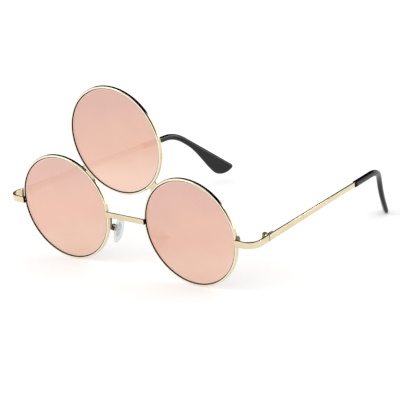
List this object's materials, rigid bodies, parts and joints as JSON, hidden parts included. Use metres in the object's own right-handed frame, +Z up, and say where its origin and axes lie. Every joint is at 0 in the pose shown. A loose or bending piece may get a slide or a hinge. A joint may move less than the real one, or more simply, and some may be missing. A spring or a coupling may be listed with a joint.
{
  "type": "round sunglasses",
  "caption": "Metal-framed round sunglasses with an extra round lens above the bridge, mirrored pink lenses, folding temples and rocking nose pads.",
  "frame": {"origin": "on the table, at the middle of the footprint of the open pair, which stands on the bottoms of its lower rims and on the left temple tip", "axes": "+X towards the wearer's left, +Y from the front back towards the ears, +Z up. The front leans forward by about 7 degrees"},
  "size_m": [0.1432, 0.1476, 0.0893],
  "materials": {
    "gold_plated_alloy": "polished pale gold plating",
    "gold_plated_screw": "pale gold plating, slightly dulled",
    "pink_mirror_lens": "flat plastic lens with a rose-pink mirror coating",
    "black_acetate": "glossy black",
    "clear_pad_plastic": "clear soft plastic"
  },
  "bodies": {
    "front": {"braze_left": "gold_plated_alloy", "braze_right": "gold_plated_alloy", "bridge": "gold_plated_alloy", "endpiece_left": "gold_plated_alloy", "endpiece_right": "gold_plated_alloy", "hinge_front_leaf_left": "gold_plated_alloy", "hinge_front_leaf_right": "gold_plated_alloy", "hinge_screw_left": "gold_plated_screw", "hinge_screw_right": "gold_plated_screw", "lens_left": "pink_mirror_lens", "lens_right": "pink_mirror_lens", "lens_top": "pink_mirror_lens", "pad_arm_left": "gold_plated_alloy", "pad_arm_right": "gold_plated_alloy", "pad_screw_left": "gold_plated_screw", "pad_screw_right": "gold_plated_screw", "rim_left": "gold_plated_alloy", "rim_lock_lower_left": "gold_plated_alloy", "rim_lock_lower_right": "gold_plated_alloy", "rim_lock_lower_top": "gold_plated_alloy", "rim_lock_screw_left": "gold_plated_screw", "rim_lock_screw_right": "gold_plated_screw", "rim_lock_screw_top": "gold_plated_screw", "rim_lock_upper_left": "gold_plated_alloy", "rim_lock_upper_right": "gold_plated_alloy", "rim_lock_upper_top": "gold_plated_alloy", "rim_right": "gold_plated_alloy", "rim_top": "gold_plated_alloy"},
    "temple_left": {"hinge_temple_leaf_left": "gold_plated_alloy", "temple_left": "gold_plated_alloy", "temple_tip_left": "black_acetate"},
    "temple_right": {"hinge_temple_leaf_right": "gold_plated_alloy", "temple_right": "gold_plated_alloy", "temple_tip_right": "black_acetate"},
    "nose_pad_left": {"nose_pad_left": "clear_pad_plastic"},
    "nose_pad_right": {"nose_pad_right": "clear_pad_plastic"}
  },
  "joints": [
    {"name": "temple_left_hinge", "type": "hinge", "parent": "front", "child": "temple_left", "pos_m": [0.06861, -0.05411, 0.02561], "axis": [-0.008, -0.0321, 0.9995], "range_deg": [0, 84.5]},
    {"name": "temple_right_hinge", "type": "hinge", "parent": "front", "child": "temple_right", "pos_m": [-0.06861, -0.05411, 0.02561], "axis": [-0.008, 0.0321, -0.9995], "range_deg": [0, 81]},
    {"name": "nose_pad_left_rock", "type": "hinge", "parent": "front", "child": "nose_pad_left", "pos_m": [0.0142, -0.0577, 0.01712], "axis": [0.0872, 0.9891, 0.1183], "range_deg": [-8, 8]},
    {"name": "nose_pad_right_rock", "type": "hinge", "parent": "front", "child": "nose_pad_right", "pos_m": [-0.0142, -0.0577, 0.01712], "axis": [-0.0872, 0.9891, 0.1183], "range_deg": [-8, 8]}
  ]
}
